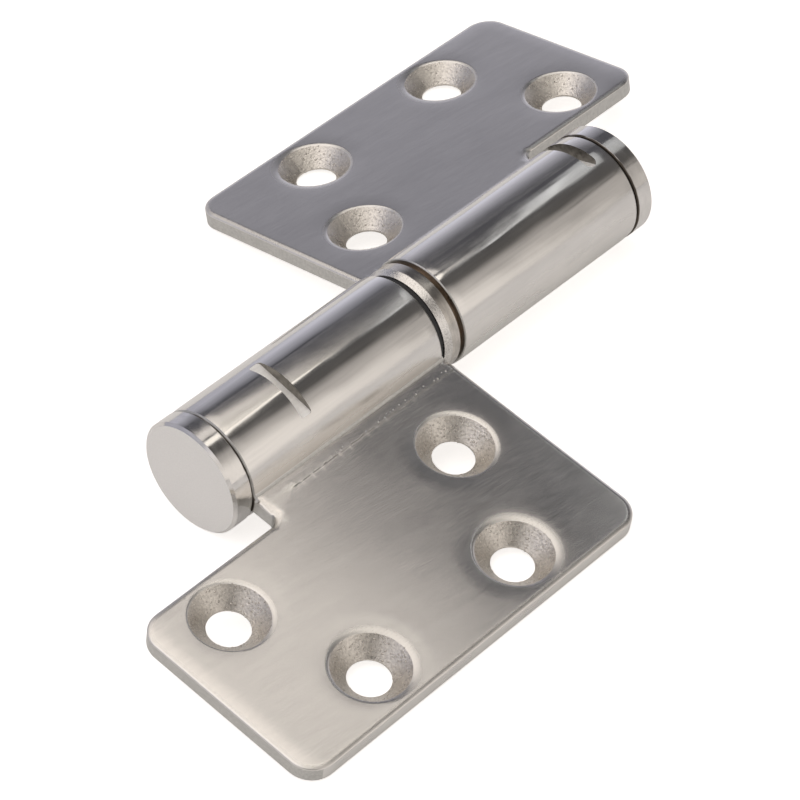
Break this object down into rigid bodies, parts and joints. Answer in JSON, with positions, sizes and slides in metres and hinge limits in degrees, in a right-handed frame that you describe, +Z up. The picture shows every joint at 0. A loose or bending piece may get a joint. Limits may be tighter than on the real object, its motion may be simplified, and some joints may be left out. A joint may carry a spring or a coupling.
{
  "type": "lift-off flag hinge",
  "caption": "Stainless lift-off flag hinge: two countersunk leaves, each with half-length knuckle, joined by headed pin with a thrust ring and bush.",
  "frame": {"origin": "on the table under the middle of the barrel: the hinge lies on its barrel and on the outer edges of its two sloping leaves", "axes": "+Y along the pin, the way the upper leaf lifts off; +Z up; the lower leaf points to +X and the upper leaf to -X"},
  "size_m": [0.0948, 0.1402, 0.0183],
  "materials": {
    "cast_steel": "brushed along the pin, knuckles polished",
    "turned_steel": "turned and polished",
    "key_steel": "bright, freshly cut",
    "ring_steel": "ground, with a rough bevel",
    "bush_bronze": "dark, oiled",
    "washer_plastic": "matt black"
  },
  "bodies": {
    "lower_leaf": {"lower_leaf": "cast_steel", "hinge_pin": "turned_steel", "lower_locking_key": "key_steel", "sliding_washer": "washer_plastic"},
    "thrust_ring": {"thrust_ring": "ring_steel"},
    "upper_leaf": {"upper_leaf": "cast_steel", "upper_bush": "bush_bronze", "upper_end_plug": "turned_steel", "upper_locking_key": "key_steel"}
  },
  "joints": [
    {"name": "swing", "type": "hinge", "parent": "lower_leaf", "child": "thrust_ring", "pos_m": [0, 0, 0.00915], "axis": [0, 1, 0], "continuous": true},
    {"name": "lift_off", "type": "slide", "parent": "thrust_ring", "child": "upper_leaf", "axis": [0, 1, 0], "range_m": [0, 0.0235]}
  ]
}
